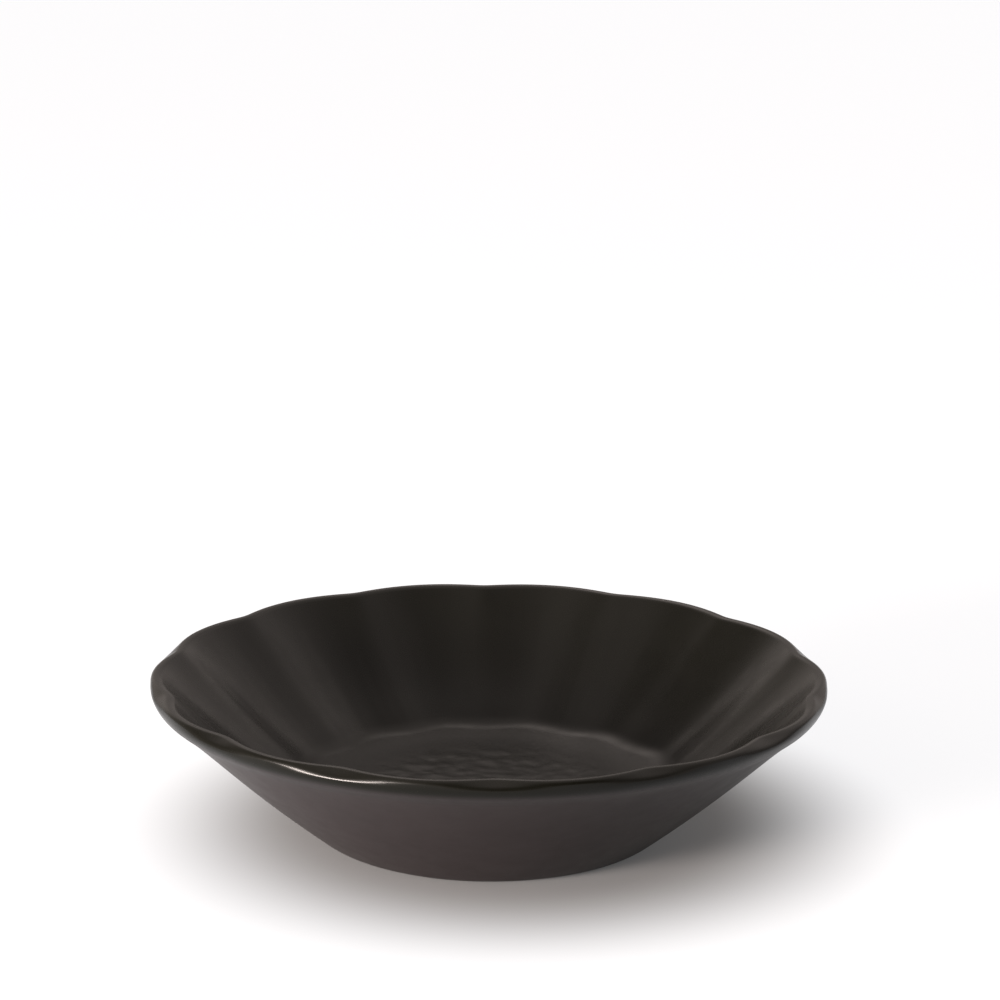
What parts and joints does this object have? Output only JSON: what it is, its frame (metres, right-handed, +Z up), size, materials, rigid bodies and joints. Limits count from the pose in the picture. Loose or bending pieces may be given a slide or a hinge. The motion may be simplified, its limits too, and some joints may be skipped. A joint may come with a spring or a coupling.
{
  "type": "tea plate",
  "caption": "Small deep tea plate of black glazed stoneware: scalloped lip, fluted inside, plain outside, standing on a low bare foot ring.",
  "frame": {"origin": "centre of the foot ring, on the surface that the plate stands on", "axes": "+Z up along the plate's axis; +X out through the crown of a lobe; +Y out through the notch between two lobes"},
  "size_m": [0.15, 0.1496, 0.0354],
  "materials": {
    "bare_clay": "bare fired stoneware, dry and matt",
    "inside_black_glaze": "black glaze, satin to glossy",
    "outside_black_glaze": "black glaze, satin",
    "base_black_glaze": "black glaze, satin"
  },
  "bodies": {
    "root": {"stoneware_body": "bare_clay", "inside_glaze": "inside_black_glaze", "outside_glaze": "outside_black_glaze", "base_glaze": "base_black_glaze"}
  },
  "joints": []
}
